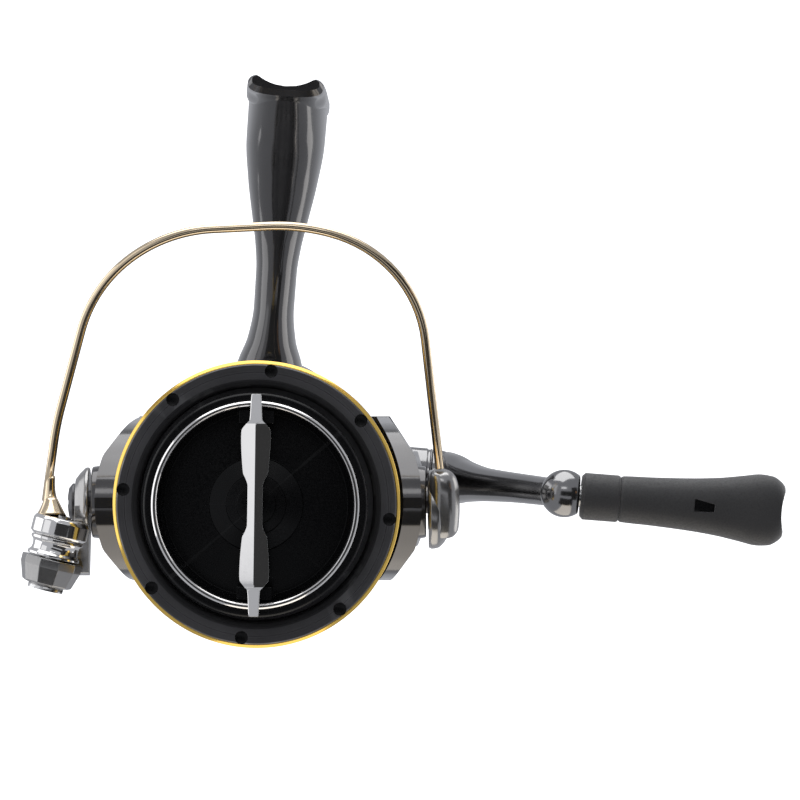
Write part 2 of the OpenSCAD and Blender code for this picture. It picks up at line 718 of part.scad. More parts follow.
// ---------- drag knob ----------
bar_turn = -3.7;
knob_r = 19.7;
module knob_turned() {
  rotate([0, bar_turn, 0]) children();
}
module seal_ring() {
  rotate([-90, 0, 0]) translate([0, 0, -72.95]) rotate_extrude() translate([17, 0]) circle(r = 0.35);
}
module drag_knob() {
  color([0.05, 0.05, 0.05]) placed() knob_turned() difference() {
    union() {
      turned([[0, -76], [6.5, -76], [6.5, -73], [19.2, -73], [knob_r, -73.5], [knob_r, -83], [19.4, -83.3],
        [18.3, -83.3], [18.3, -82.9], [17.2, -82.9], [17, -78], [16.2, -76.9], [8.3, -77.4], [8.3, -77.8],
        [5.3, -78], [5.3, -78.3], [3.5, -78.3], [3.5, -78.8], [0, -78.8]]);
      intersection() {
        union() {
          block(-1.1, 1.1, -82.4, -76.95, -17.1, 17.1);
          for (s = [-1, 1]) block(-3.1, 3.1, -82.4, -76.5, min(s * 14.4, s * 17.1), max(s * 14.4, s * 17.1));
        }
        rod_y(-90, -70, 17.3);
      }
    }
    for (i = [0:knob_ribs - 1]) rotate([0, i * 360 / knob_ribs, 0]) translate([knob_r + 0.1, 0, 0])
      rod_y(-82, -75, 0.4);
    seal_ring();
  }
}
module knob_ring() {
  color([0.85, 0.85, 0.85]) placed() turned([[17.3, -82.9], [18.3, -82.9], [18.3, -83.7],
    [18, -84], [17.6, -84], [17.3, -83.7]]);
}
// half widths along the bar
bar_edge = [[0.85, -19.5], [1.15, -14.8], [2.6, -13.1], [2.2, -5.7], [1.33, -3.4], [1.33, 3.4],
  [2.2, 5.7], [2.6, 13.1], [1.15, 14.8], [0.85, 19.5]];
module knob_bar() {
  color([0.8, 0.8, 0.8]) placed() knob_turned() intersection() {
    plate_y(-86, -82.45) polygon([for (sx = [1, -1]) for (i = [0:9])
      let (q = bar_edge[sx > 0 ? i : 9 - i]) [sx * q[0], q[1]]]);
    // ridge along the top, and an underside that steps over the ring
    plate_z(-30, 30) polygon([[0, -86], [2.8, -84.6], [2.8, -82.45], [-2.8, -82.45], [-2.8, -84.6]]);
    union() {
      block(-5, 5, -90, -84.05, -20, 20);
      rod_y(-90, -80, 17.15);
    }
  }
}
module knob_nut() {
  color([0.75, 0.6, 0.3]) placed() knob_turned() difference() {
    plate_y(-75.9, -73.3) circle(r = 6.2, $fn = 6);
    rod_y(-80, -70, shaft_r + 0.06);
  }
}
module knob_seal() {
  color([0.03, 0.03, 0.03]) placed() seal_ring();
}

// ---------- worm ----------
module worm_shaft() {
  color([0.75, 0.75, 0.75]) placed() translate([worm_x, 0, worm_z]) difference() {
    union() {
      rod_y(-16.1, -9.6, 1.8);
      rod_y(-9.6, 31.8, 2.6);
      rod_y(31.8, 33.4, 1.8);
    }
    for (y = [9:4:29]) translate([0, y, 0]) for (lean = [-28, 28]) rotate([lean, 0, 0])
      rotate([-90, 0, 0]) rotate_extrude() translate([2.95, 0]) circle(r = 0.62, $fn = 24);
  }
}
module worm_gear() {
  color([0.85, 0.85, 0.8]) placed() translate([worm_x, 0, worm_z]) difference() {
    plate_y(-13.4, -10.4) gear_outline(11, 4.1, 5.2);
    rod_y(-20, 0, 1.8);
  }
}

// ---------- drawing ----------
frame_body();
side_cover();
tail_cover();
cover_screws();
shaft_cap();
drive_bearings();
pinion_bearing();
rear_bush();
roller_clutch();
clutch_rollers();
clutch_plate();
plate_screws();
worm_bushes();
guide_rods();
drive_gear();
handle_shank();
shank_seal();
handle_arm();
knob_post();
knob_grip();
knob_collar();
knob_bushes();
knob_inlay();
pinion();
clutch_sleeve();
rotor();
rotor_nut();
nut_lock();
arm_covers();
bail_spring();
spring_guide();
trip_lever();
pivot_screws();
bail_wire();
wire_cone();
arm_lever();
bail_holder();
roller_screw();
line_roller();
roller_bush();
main_shaft();
slider_block();
slider_pawl();
spool_seat();
drag_plates();
spool_body();
spool_lip();
front_ring();
line_clip();
drag_felts();
drag_snap_ring();
click_ring();
drag_knob();
knob_ring();
knob_bar();
knob_nut();
knob_seal();
worm_shaft();
worm_gear();
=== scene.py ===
import json
import math

import bmesh
import bpy
from mathutils import Matrix, Vector


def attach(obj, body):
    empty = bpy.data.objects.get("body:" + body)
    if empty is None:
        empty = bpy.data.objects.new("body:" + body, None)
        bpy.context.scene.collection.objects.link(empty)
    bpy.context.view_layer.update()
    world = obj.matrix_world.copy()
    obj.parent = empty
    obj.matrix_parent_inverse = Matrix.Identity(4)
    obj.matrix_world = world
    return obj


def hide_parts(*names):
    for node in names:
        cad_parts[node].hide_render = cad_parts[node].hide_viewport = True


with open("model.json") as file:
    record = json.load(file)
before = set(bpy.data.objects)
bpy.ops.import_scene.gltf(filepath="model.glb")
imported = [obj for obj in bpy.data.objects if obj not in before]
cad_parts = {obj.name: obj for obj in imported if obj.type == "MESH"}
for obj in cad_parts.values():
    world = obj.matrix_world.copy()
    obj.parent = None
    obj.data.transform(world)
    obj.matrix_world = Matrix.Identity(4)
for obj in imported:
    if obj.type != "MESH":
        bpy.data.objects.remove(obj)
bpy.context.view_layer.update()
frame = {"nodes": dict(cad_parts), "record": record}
scene = bpy.context.scene

# ---------- frames: millimetres on the spool axis, carried to the row frame in metres ----------
LEAN = 4.5  # degrees that the camera is rolled; the rotor rests turned back by as much
AXIS_X, AXIS_Z = 1.5, -76  # the spool axis in the row frame
DRIVE_Y = 14  # the drive shaft in the row frame
FOOT_X = -AXIS_X  # the foot's middle, seen from the spool axis
DESIGN = Matrix.Scale(0.001, 4) @ Matrix.Translation((AXIS_X, DRIVE_Y, AXIS_Z))
ROTOR = DESIGN @ Matrix.Rotation(math.radians(-LEAN), 4, "Y")
PIVOT = ROTOR @ Matrix.Translation((0, -57, 0))
BAIL = ROTOR @ Matrix.Translation((0, -65, 0)) @ Matrix.Rotation(math.radians(107), 4, "X")
ROLLER = (
    ROTOR @ Matrix.Translation((-36.2, -67, -8)) @ Matrix.Rotation(math.radians(14), 4, "Y")
)
KNOB = DESIGN @ Matrix.Rotation(math.radians(-3.7), 4, "Y")
DRIVE = DESIGN @ Matrix.Translation((0, 0, 6.4))
GRIP = DESIGN @ Matrix.Translation((0, -52, 5.6))


# ---------- materials ----------
MOTTLE = 90  # scale of the slow colour variation
RELIEF = 0.00005  # metres that the fine grain stands out at full strength


def grained(
    name,
    colour,
    metallic,
    rough,
    vary=0.15,
    wear=0.35,
    worn=(0.6, 0.6, 0.6),
    coat=0.0,
    coat_rough=0.08,
    specular=0.5,
    grain=1400.0,
    bump=0.12,
    stretch=(1, 1, 1),
    rings=False,
    sheen=0.0,
    anisotropic=0.0,
    haze=0.3,
):
    """A finish with its own mottling, roughness map, fine relief and rubbed edges."""
    m = bpy.data.materials.new(name)
    m.use_nodes = True
    t = m.node_tree
    n, link = t.nodes, t.links
    n.clear()
    out = n.new("ShaderNodeOutputMaterial")
    sh = n.new("ShaderNodeBsdfPrincipled")
    link.new(sh.outputs["BSDF"], out.inputs["Surface"])
    sh.inputs["Metallic"].default_value = metallic
    sh.inputs["IOR"].default_value = 1.5
    sh.inputs["Specular IOR Level"].default_value = specular
    sh.inputs["Coat Weight"].default_value = coat
    sh.inputs["Coat Roughness"].default_value = coat_rough
    sh.inputs["Sheen Weight"].default_value = sheen
    sh.inputs["Anisotropic"].default_value = anisotropic
    where = n.new("ShaderNodeTexCoord")
    shift = n.new("ShaderNodeMapping")
    shift.inputs["Location"].default_value = (-AXIS_X / 1000, 0, -AXIS_Z / 1000)
    link.new(where.outputs["Object"], shift.inputs["Vector"])
    # slow mottling
    slow = n.new("ShaderNodeTexNoise")
    slow.inputs["Scale"].default_value = MOTTLE
    slow.inputs["Detail"].default_value = 2
    link.new(shift.outputs["Vector"], slow.inputs["Vector"])
    # fine grain, in rings round the spool axis or stretched
    fine = n.new("ShaderNodeTexNoise")
    fine.inputs["Scale"].default_value = grain
    fine.inputs["Detail"].default_value = 3
    if rings:
        flat = n.new("ShaderNodeVectorMath")
        flat.operation = "MULTIPLY"
        flat.inputs[1].default_value = (1, 0, 1)
        link.new(shift.outputs["Vector"], flat.inputs[0])
        reach = n.new("ShaderNodeVectorMath")
        reach.operation = "LENGTH"
        link.new(flat.outputs["Vector"], reach.inputs[0])
        fine.noise_dimensions = "1D"
        link.new(reach.outputs["Value"], fine.inputs["W"])
        fine.inputs["Scale"].default_value = grain * 2
    else:
        scaled = n.new("ShaderNodeMapping")
        scaled.inputs["Scale"].default_value = stretch
        link.new(shift.outputs["Vector"], scaled.inputs["Vector"])
        link.new(scaled.outputs["Vector"], fine.inputs["Vector"])
    # rubbed edges
    geo = n.new("ShaderNodeNewGeometry")
    edge = n.new("ShaderNodeValToRGB")
    edge.color_ramp.elements[0].position = 0.56
    edge.color_ramp.elements[1].position = 0.7
    link.new(geo.outputs["Pointiness"], edge.inputs["Fac"])
    patch = n.new("ShaderNodeMath")
    patch.operation = "MULTIPLY"
    link.new(edge.outputs["Color"], patch.inputs[0])
    link.new(slow.outputs["Fac"], patch.inputs[1])
    rub = n.new("ShaderNodeMath")
    rub.operation = "MULTIPLY"
    rub.inputs[1].default_value = wear
    link.new(patch.outputs["Value"], rub.inputs[0])
    tone = n.new("ShaderNodeValToRGB")
    tone.color_ramp.elements[0].position = 0.3
    tone.color_ramp.elements[0].color = (*[c * (1 - vary) for c in colour], 1)
    tone.color_ramp.elements[1].position = 0.7
    tone.color_ramp.elements[1].color = (*[min(1, c * (1 + vary)) for c in colour], 1)
    link.new(slow.outputs["Fac"], tone.inputs["Fac"])
    mix = n.new("ShaderNodeMix")
    mix.data_type = "RGBA"
    mix.inputs[7].default_value = (*worn, 1)
    link.new(rub.outputs["Value"], mix.inputs[0])
    link.new(tone.outputs["Color"], mix.inputs[6])
    link.new(mix.outputs[2], sh.inputs["Base Color"])
    spread = n.new("ShaderNodeMapRange")
    spread.inputs["From Min"].default_value = 0.3
    spread.inputs["From Max"].default_value = 0.7
    spread.inputs["To Min"].default_value = rough * (1 - haze)
    spread.inputs["To Max"].default_value = min(1, rough * (1 + haze))
    link.new(fine.outputs["Fac"], spread.inputs["Value"])
    link.new(spread.outputs["Result"], sh.inputs["Roughness"])
    relief = n.new("ShaderNodeBump")
    relief.inputs["Strength"].default_value = bump
    relief.inputs["Distance"].default_value = RELIEF
    link.new(fine.outputs["Fac"], relief.inputs["Height"])
    link.new(relief.outputs["Normal"], sh.inputs["Normal"])
    return m


LOOKS = {
    "black_gloss": grained(
        "black_gloss", (0.105, 0.103, 0.104), 0.85, 0.15, vary=0.06, coat=0.4, coat_rough=0.05,
        wear=0.12, worn=(0.2, 0.2, 0.2), bump=0.004, haze=0.12,
    ),
    "gunmetal": grained(
        "gunmetal", (0.27, 0.268, 0.27), 1.0, 0.16, vary=0.06, coat=0.2, wear=0.2, bump=0.003,
        haze=0.1,
    ),
    "holder_metal": grained(
        "holder_metal", (0.36, 0.355, 0.35), 0.95, 0.24, vary=0.05, coat=0.2, wear=0.2,
        bump=0.004, haze=0.1,
    ),
    "dark_metal": grained("dark_metal", (0.1, 0.1, 0.105), 0.85, 0.34, wear=0.3, bump=0.06),
    "steel": grained(
        "steel", (0.56, 0.56, 0.56), 1.0, 0.25, stretch=(1, 0.06, 1), worn=(0.8, 0.8, 0.8)
    ),
    "dark_steel": grained("dark_steel", (0.18, 0.18, 0.19), 1.0, 0.35, stretch=(0.1, 1, 1)),
    "bronze": grained(
        "bronze", (0.52, 0.35, 0.15), 1.0, 0.3, stretch=(1, 0.1, 1), worn=(0.8, 0.6, 0.35)
    ),
    "seal_rubber": grained(
        "seal_rubber", (0.012, 0.012, 0.012), 0.0, 0.7, wear=0.2, worn=(0.08, 0.08, 0.08), bump=0.4
    ),
    "grip_rubber": grained(
        "grip_rubber", (0.028, 0.0275, 0.028), 0.0, 0.58, vary=0.1, wear=0.3,
        worn=(0.12, 0.12, 0.12), grain=3200, bump=0.5, sheen=0.3, specular=0.45,
    ),
    "black_plastic": grained(
        "black_plastic", (0.004, 0.004, 0.0045), 0.0, 0.26, wear=0.15, worn=(0.1, 0.1, 0.1),
        grain=2600, bump=0.02, specular=0.2,
    ),
    "white_plastic": grained(
        "white_plastic", (0.75, 0.75, 0.7), 0.0, 0.45, worn=(0.85, 0.85, 0.8)
    ),
    "bail_chrome": grained(
        "bail_chrome", (0.8, 0.66, 0.47), 1.0, 0.1, vary=0.06, wear=0.1, worn=(0.9, 0.85, 0.8),
        bump=0.003, haze=0.15,
    ),
    "chrome": grained(
        "chrome", (0.8, 0.79, 0.78), 1.0, 0.08, vary=0.03, wear=0.1, worn=(0.9, 0.9, 0.9),
        bump=0.002, haze=0.15,
    ),
    "gold": grained(
        "gold", (0.83, 0.56, 0.13), 1.0, 0.17, vary=0.05, wear=0.2, worn=(0.95, 0.8, 0.45),
        rings=True, bump=0.03, anisotropic=0.3,
    ),
    "dark_anodised": grained(
        "dark_anodised", (0.115, 0.114, 0.118), 0.9, 0.38, rings=True, grain=2600, bump=0.06,
        wear=0.3,
    ),
    "felt": grained("felt", (0.06, 0.06, 0.06), 0.0, 0.95, grain=2400, bump=1.0, sheen=0.6),
}
NODE_SLOT = {entry["node"]: entry["material_slot"] for entry in frame["record"]["subparts"]}


# ---------- mesh building ----------
def rounded(points, radius, steps=3):
    """A closed outline with its corners rounded; a third number is that corner's own radius."""
    out = []
    count = len(points)
    for i, point in enumerate(points):
        here = Vector(point[:2])
        r = point[2] if len(point) > 2 else radius
        u = Vector(points[i - 1][:2]) - here
        v = Vector(points[(i + 1) % count][:2]) - here
        half = u.angle(v) / 2
        if r <= 0 or here.x < 1e-6 or half > math.radians(87):
            out.append(here)
            continue
        reach = min(r / math.tan(half), 0.45 * u.length, 0.45 * v.length)
        r = reach * math.tan(half)
        u.normalize()
        v.normalize()
        centre = here + (u + v).normalized() * (r / math.sin(half))
        first, last = here + u * reach - centre, here + v * reach - centre
        sweep = first.angle(last)
        for k in range(steps + 1):
            f = k / steps
            out.append(
                centre
                + (first * math.sin((1 - f) * sweep) + last * math.sin(f * sweep)) / math.sin(sweep)
            )
    return out


def build(name, verts, faces, matrix):
    """A smooth-shaded object from points carried by a matrix."""
    mesh = bpy.data.meshes.new(name)
    mesh.from_pydata([matrix @ Vector(v) for v in verts], [], faces)
    bm = bmesh.new()
    bm.from_mesh(mesh)
    bmesh.ops.remove_doubles(bm, verts=bm.verts, dist=2e-6)
    bmesh.ops.recalc_face_normals(bm, faces=bm.faces)
    bm.to_mesh(mesh)
    bm.free()
    for poly in mesh.polygons:
        poly.use_smooth = True
    obj = bpy.data.objects.new(name, mesh)
    scene.collection.objects.link(obj)
    return obj


def place(axis, h, u, v):
    """The point at h along an axis, with u and v on the other two."""
    return {"x": (h, u, v), "y": (u, h, v), "z": (u, v, h)}[axis]


def lathe(name, outline, matrix, radius=0.2, steps=3, segments=144, axis="y", shape=None):
    """A closed outline of [radius, height] points turned round an axis."""
    ring = rounded(outline, radius, steps)
    k = len(ring)
    verts, faces = [], []
    for i in range(segments):
        a = 2 * math.pi * i / segments
        for r, h in ring:
            q = shape(a, r, h) if shape else r
            c, s = q * math.cos(a), q * math.sin(a)
            verts.append(place(axis, h, c, s))
        j = (i + 1) % segments
        faces += [
            (i * k + p, i * k + (p + 1) % k, j * k + (p + 1) % k, j * k + p) for p in range(k)
        ]
    return build(name, verts, faces, matrix)


def skin(name, loops, matrix):
    """A closed surface over equal loops of points."""
    k = len(loops[0])
    verts = [p for loop in loops for p in loop]
    faces = [
        (s * k + i, s * k + (i + 1) % k, (s + 1) * k + (i + 1) % k, (s + 1) * k + i)
        for s in range(len(loops) - 1)
        for i in range(k)
    ]
    last = (len(loops) - 1) * k
    faces.append(tuple(range(k)))
    faces.append(tuple(last + i for i in range(k)))
    return build(name, verts, faces, matrix)


def flow(rows, count):
    """Rows of numbers blended smoothly along their first column, without overshoot."""
    x = [r[0] for r in rows]
    n = len(rows)
    slopes = []
    for c in range(len(rows[0])):
        d = [(rows[i + 1][c] - rows[i][c]) / (x[i + 1] - x[i]) for i in range(n - 1)]
        m = [d[0]]
        for i in range(1, n - 1):
            m.append(0 if d[i - 1] * d[i] <= 0 else 2 * d[i - 1] * d[i] / (d[i - 1] + d[i]))
        slopes.append(m + [d[-1]])
    out = []
    for k in range(count):
        at = x[0] + (x[-1] - x[0]) * k / (count - 1)
        i = max(j for j in range(n - 1) if x[j] <= at + 1e-9)
        h = x[i + 1] - x[i]
        f = (at - x[i]) / h
        row = []
        for c in range(len(rows[0])):
            m = slopes[c]
            row.append(
                (2 * f**3 - 3 * f**2 + 1) * rows[i][c]
                + (f**3 - 2 * f**2 + f) * h * m[i]
                + (3 * f**2 - 2 * f**3) * rows[i + 1][c]
                + (f**3 - f**2) * h * m[i + 1]
            )
        out.append(row)
    return out


def oval(w, h, n, k=64):
    """k points round an oval of half sizes w and h; n above 2 makes it squarer."""
    loop = []
    for i in range(k):
        c, s = math.cos(2 * math.pi * i / k), math.sin(2 * math.pi * i / k)
        loop.append(
            (w * math.copysign(abs(c) ** (2 / n), c), h * math.copysign(abs(s) ** (2 / n), s))
        )
    return loop


def loft(name, rows, matrix, axis, count=48, k=64):
    """Rows of [along, first centre, second centre, first half, second half, squareness]."""
    loops = []
    for at, a, b, w, h, n in flow(rows, count):
        loops.append([place(axis, at, a + u, b + v) for u, v in oval(w, h, n, k)])
    return skin(name, loops, matrix)


def slab(name, outline, a, b, matrix, axis):
    """A flat outline carried from a to b along an axis."""
    return skin(name, [[place(axis, h, u, v) for u, v in outline] for h in (a, b)], matrix)


def block(name, x0, x1, y0, y1, z0, z1, matrix):
    return slab(name, [(x0, y0), (x1, y0), (x1, y1), (x0, y1)], z0, z1, matrix, "z")


def bore(radius, a, b, matrix, axis, segments=32):
    """A plain round cutter from a to b along an axis."""
    return lathe("bore", [[0, a], [radius, a], [radius, b], [0, b]], matrix, 0, 1, segments, axis)


def tube(name, points, radii, matrix, k=24, up=(0, 0, 1)):
    """A round bar along a path, with its radius at each point."""
    loops = []
    for i, p in enumerate(points):
        a = Vector(points[max(0, i - 1)])
        b = Vector(points[min(len(points) - 1, i + 1)])
        along = (b - a).normalized()
        side = along.cross(Vector(up)).normalized()
        over = side.cross(along)
        loops.append(
            [
                Vector(p)
                + side * radii[i] * math.cos(2 * math.pi * j / k)
                + over * radii[i] * math.sin(2 * math.pi * j / k)
                for j in range(k)
            ]
        )
    return skin(name, loops, matrix)


def baked(obj):
    """Puts the object's modifiers into its mesh."""
    graph = bpy.context.evaluated_depsgraph_get()
    mesh = bpy.data.meshes.new_from_object(obj.evaluated_get(graph))
    obj.modifiers.clear()
    obj.data = mesh
    for poly in mesh.polygons:
        poly.use_smooth = True


def carve(obj, cutters, operation="DIFFERENCE"):
    """Cuts the cutters out of obj, then drops them."""
    for c in cutters:
        m = obj.modifiers.new("cut", "BOOLEAN")
        m.operation = operation
        m.solver = "EXACT"
        m.object = c
    baked(obj)
    for c in cutters:
        bpy.data.objects.remove(c)


def joined(name, objs):
    """One object from several shells."""
    bm = bmesh.new()
    for o in objs:
        bm.from_mesh(o.data)
        bpy.data.objects.remove(o)
    mesh = bpy.data.meshes.new(name)
    bm.to_mesh(mesh)
    bm.free()
    obj = bpy.data.objects.new(name, mesh)
    scene.collection.objects.link(obj)
    for poly in mesh.polygons:
        poly.use_smooth = True
    return obj


def soften(obj, width=0.15, segments=3, angle=35):
    """Small rounds on the edges, with clean shading on the flats."""
    if width:
        m = obj.modifiers.new("rounds", "BEVEL")
        m.width = width / 1000
        m.segments = segments
        m.limit_method = "ANGLE"
        m.angle_limit = math.radians(angle)
        m.use_clamp_overlap = True
        m.harden_normals = True
    w = obj.modifiers.new("shading", "WEIGHTED_NORMAL")
    w.keep_sharp = True
    return obj


def finished(obj, look, body, *nodes, slot=None):
    """A visible piece: its material, its body, the CAD node it stands for and its slot, which is
    not used.
    """
    obj.data.materials.clear()
    obj.data.materials.append(LOOKS[look])
    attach(obj, body)
    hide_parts(*nodes)


# ---------- camera, light and floor ----------
CAMERA_AT = (0.0254, -0.962, -0.0556)
MIDDLE = Vector((0.02, -0.02, -0.05))  # where the lights and cards face
lean = math.radians(LEAN)
right = Vector((math.cos(lean), 0, math.sin(lean)))
up = Vector((-math.sin(lean), 0, math.cos(lean)))
back = Vector((0, -1, 0))
cam_data = bpy.data.cameras.new("camera")
cam_data.sensor_width = 36
cam_data.lens = 228.8
cam = bpy.data.objects.new("camera", cam_data)
scene.collection.objects.link(cam)
cam.matrix_world = Matrix.Translation(CAMERA_AT) @ Matrix(
    (
        (right.x, up.x, back.x, 0),
        (right.y, up.y, back.y, 0),
        (right.z, up.z, back.z, 0),
        (0, 0, 0, 1),
    )
)
scene.camera = cam
scene.view_settings.view_transform = "Standard"

world = bpy.data.worlds.new("studio")
world.use_nodes = True
sky = world.node_tree.nodes["Background"]
sky.inputs["Color"].default_value = (0.92, 0.94, 1.0, 1)
sky.inputs["Strength"].default_value = 0.5
scene.world = world


def softbox(name, at, size, energy, colour=(1, 1, 1)):
    """A soft rectangular light that faces the reel."""
    data = bpy.data.lights.new(name, "AREA")
    data.shape = "RECTANGLE"
    data.size, data.size_y = size
    data.energy = energy
    data.color = colour
    obj = bpy.data.objects.new(name, data)
    scene.collection.objects.link(obj)
    obj.location = at
    obj.rotation_mode = "QUATERNION"
    obj.rotation_quaternion = (MIDDLE - Vector(at)).to_track_quat("-Z", "Y")


softbox("key", (-0.78, -0.6, 0.2), (0.5, 0.8), 0.62)
softbox("front_top", (-0.05, -1.2, 0.55), (0.6, 0.2), 0.6)
softbox("top", (-0.05, 0.05, 0.75), (1.0, 0.8), 5.0)
softbox("rim_right", (0.75, 0.35, 0.0), (0.5, 0.9), 1.7, (1.0, 0.98, 0.95))
softbox("rim_left", (-0.85, 0.12, 0.0), (0.8, 0.9), 2.4)
softbox("low", (0.1, 0.0, -0.7), (0.9, 0.5), 1.5, (1.0, 0.9, 0.75))
softbox("warm", (0.66, -0.42, 0.06), (0.05, 0.08), 0.012, (1.0, 0.5, 0.2))


def floor():
    """A pale round floor that curves up into a wall far from the reel on every side."""
    paper = bpy.data.materials.new("paper")
    paper.use_nodes = True
    sheet = paper.node_tree.nodes["Principled BSDF"]
    sheet.inputs["Base Color"].default_value = (0.93, 0.93, 0.93, 1)
    sheet.inputs["Roughness"].default_value = 0.9
    sheet.inputs["Emission Color"].default_value = (1, 1, 1, 1)
    sheet.inputs["Emission Strength"].default_value = 1.0

    low, flat, wall, height, steps, turns = -0.24, 1.7, 2.6, 4.2, 16, 64
    bend = wall - flat
    profile = [(0.0, low), (flat, low)]
    for k in range(1, steps + 1):
        a = math.pi / 2 * k / steps
        profile.append((flat + bend * math.sin(a), low + bend * (1 - math.cos(a))))
    profile += [(wall, height), (0.0, height)]
    count = len(profile)
    verts, faces = [], []
    for i in range(turns):
        a = 2 * math.pi * i / turns
        verts += [(r * math.cos(a), r * math.sin(a), z) for r, z in profile]
        j = (i + 1) % turns
        faces += [
            (i * count + p, i * count + p + 1, j * count + p + 1, j * count + p)
            for p in range(count - 1)
        ]
    obj = build("floor", verts, faces, Matrix.Identity(4))
    obj.data.materials.append(paper)
    obj.visible_glossy = obj.visible_diffuse = obj.visible_shadow = False


floor()


def card(name, at, size):
    """A black card that only reflections see."""
    look = bpy.data.materials.new(name)
    look.use_nodes = True
    sheet = look.node_tree.nodes["Principled BSDF"]
    sheet.inputs["Base Color"].default_value = (0.01, 0.01, 0.01, 1)
    face = (MIDDLE - Vector(at)).to_track_quat("Z", "Y").to_matrix().to_4x4()
    w, h = size[0] / 2, size[1] / 2
    corners = [(-w, -h, 0), (w, -h, 0), (w, h, 0), (-w, h, 0)]
    obj = build(name, corners, [(0, 1, 2, 3)], Matrix.Translation(at) @ face)
    obj.data.materials.append(look)
    obj.visible_camera = obj.visible_shadow = obj.visible_diffuse = False


card("side_card", (0.72, -0.6, -0.02), (0.5, 0.9))
card("front_card", (0.2, -1.05, -0.05), (1.1, 0.42))
card("low_card", (0.16, -0.6, -0.58), (0.9, 0.5))

# ---------- housing ----------
CASE = [  # y, centre x and z, half width and height, squareness
    [-16.3, -0.5, 1.5, 16, 20, 2.2],
    [-10, -1, 3, 15.6, 21.6, 2.5],
    [4, -1, 4, 15.2, 22.2, 2.6],
    [16, -1, 3, 14.2, 20.6, 2.6],
    [27, -1, 0.5, 12.4, 17.4, 2.5],
    [34.6, -1, -1, 10.4, 14.6, 2.4],
]
STEM = [  # z, centre x and y, half width and depth, squareness
    [16, FOOT_X, 0, 8.6, 13, 2.4],
    [26.4, FOOT_X, -1.4, 5.9, 12.6, 2.4],
    [30.2, FOOT_X, -2.6, 4.6, 11.4, 2.3],
    [36, FOOT_X, -4.2, 3.85, 9.8, 2.2],
    [43, FOOT_X, -6.4, 3.9, 8.8, 2.2],
    [48, FOOT_X, -8.2, 4.4, 8.7, 2.2],
    [52.3, FOOT_X, -9.8, 5.2, 9.4, 2.2],
    [60.1, FOOT_X, -12.4, 6.6, 12.4, 2.3],
    [67.3, FOOT_X, -14, 7.4, 17.5, 2.4],
    [74, FOOT_X, -14, 7.45, 25, 2.4],
]
FOOT = [  # y, half width, height of the middle, half thickness
    [-31.9, 6.2, 76.7, 1.3],
    [-31, 6.9, 76.2, 2.0],
    [-25.6, 7.2, 76.0, 2.2],
    [-16, 7.5, 75.3, 2.9],
    [16, 7.5, 75.3, 2.9],
    [25.6, 6.7, 76.1, 2.1],
    [31, 5.8, 76.5, 1.8],
    [31.9, 5.3, 76.9, 1.2],
]
FOOT_Y = -14
SEAT_R, SEAT_Z, FOOT_TOP = 9.1, 76, 77.72  # the hollow that the rod sits in
SEAM_X, SEAM_Y, SEAM_Z = 6.25, -14.9, 23.5  # where the side cover meets the frame
GAP = 0.08
SCREWS = [(-12, 20), (2, -15.6), (14.5, 18), (28.5, 8.6)]


def frame_and_cover():
    case = loft("case", CASE, DESIGN, "y", 40, 96)
    carve(case, [block("c", SEAM_X, 30, SEAM_Y, 60, -40, SEAM_Z, DESIGN)])
    nose = lathe("nose", [[6, -31.5], [16, -31.5], [16, -15], [6, -15]], DESIGN, 0.4)
    stem = loft("stem", STEM, DESIGN, "z", 60, 64)
    loops = []
    for y, half, middle, thick in flow(FOOT, 72):
        loop = []
        for x, v in oval(half, thick, 3, 40):
            hollow = SEAT_Z + SEAT_R - math.sqrt(SEAT_R**2 - x * x)
            loop.append((FOOT_X + x, FOOT_Y + y, min(middle + v, hollow, FOOT_TOP)))
        loops.append(loop)
    foot = skin("foot", loops, DESIGN)
    body = joined("reel_frame", [case, nose, stem, foot])
    finished(soften(body, 0.25, 2), "black_gloss", "housing", "frame_body")

    cover = loft("cover", CASE, DESIGN, "y", 40, 96)
    kept = block("c", SEAM_X + GAP, 30, SEAM_Y + GAP, 60, -40, SEAM_Z - GAP, DESIGN)
    carve(cover, [kept], "INTERSECT")
    heads = [DESIGN @ Matrix.Translation((0, y, z)) for y, z in SCREWS]
    carve(cover, [bore(2.35, 7.4, 20, at, "x") for at in heads])
    finished(soften(cover, 0.3, 2), "black_gloss", "housing", "side_cover")

    tail = loft(
        "tail",
        [
            [34.65, -1, -1, 10.4, 14.6, 2.4],
            [38, -1, -1.6, 9.3, 12.8, 2.3],
            [41, -1, -2.6, 6.4, 8.9, 2.2],
            [42.4, -1, -3.4, 3, 4.6, 2],
        ],
        DESIGN, "y", 24, 80,
    )
    carve(tail, [bore(2.3, 37.2, 46, DESIGN @ Matrix.Translation((-1, 0, 5)), "y")])
    finished(soften(tail, 0.2, 2), "gunmetal", "housing", "tail_cover")

    cap = lathe(
        "cap", [[0, -14], [5.9, -14], [5.9, -14.7], [8, -14.7], [8, -16.6], [7.2, -17.2, 0.6],
                [5.6, -17.2], [5.2, -16.8], [0, -16.8]], DRIVE, 0.25, 3, 96, "x",
    )
    carve(cap, [block("c", -18, -16.4, -5, 5, -0.7, 0.7, DRIVE)])
    finished(soften(cap, 0.1, 2), "gunmetal", "housing", "shaft_cap")


frame_and_cover()


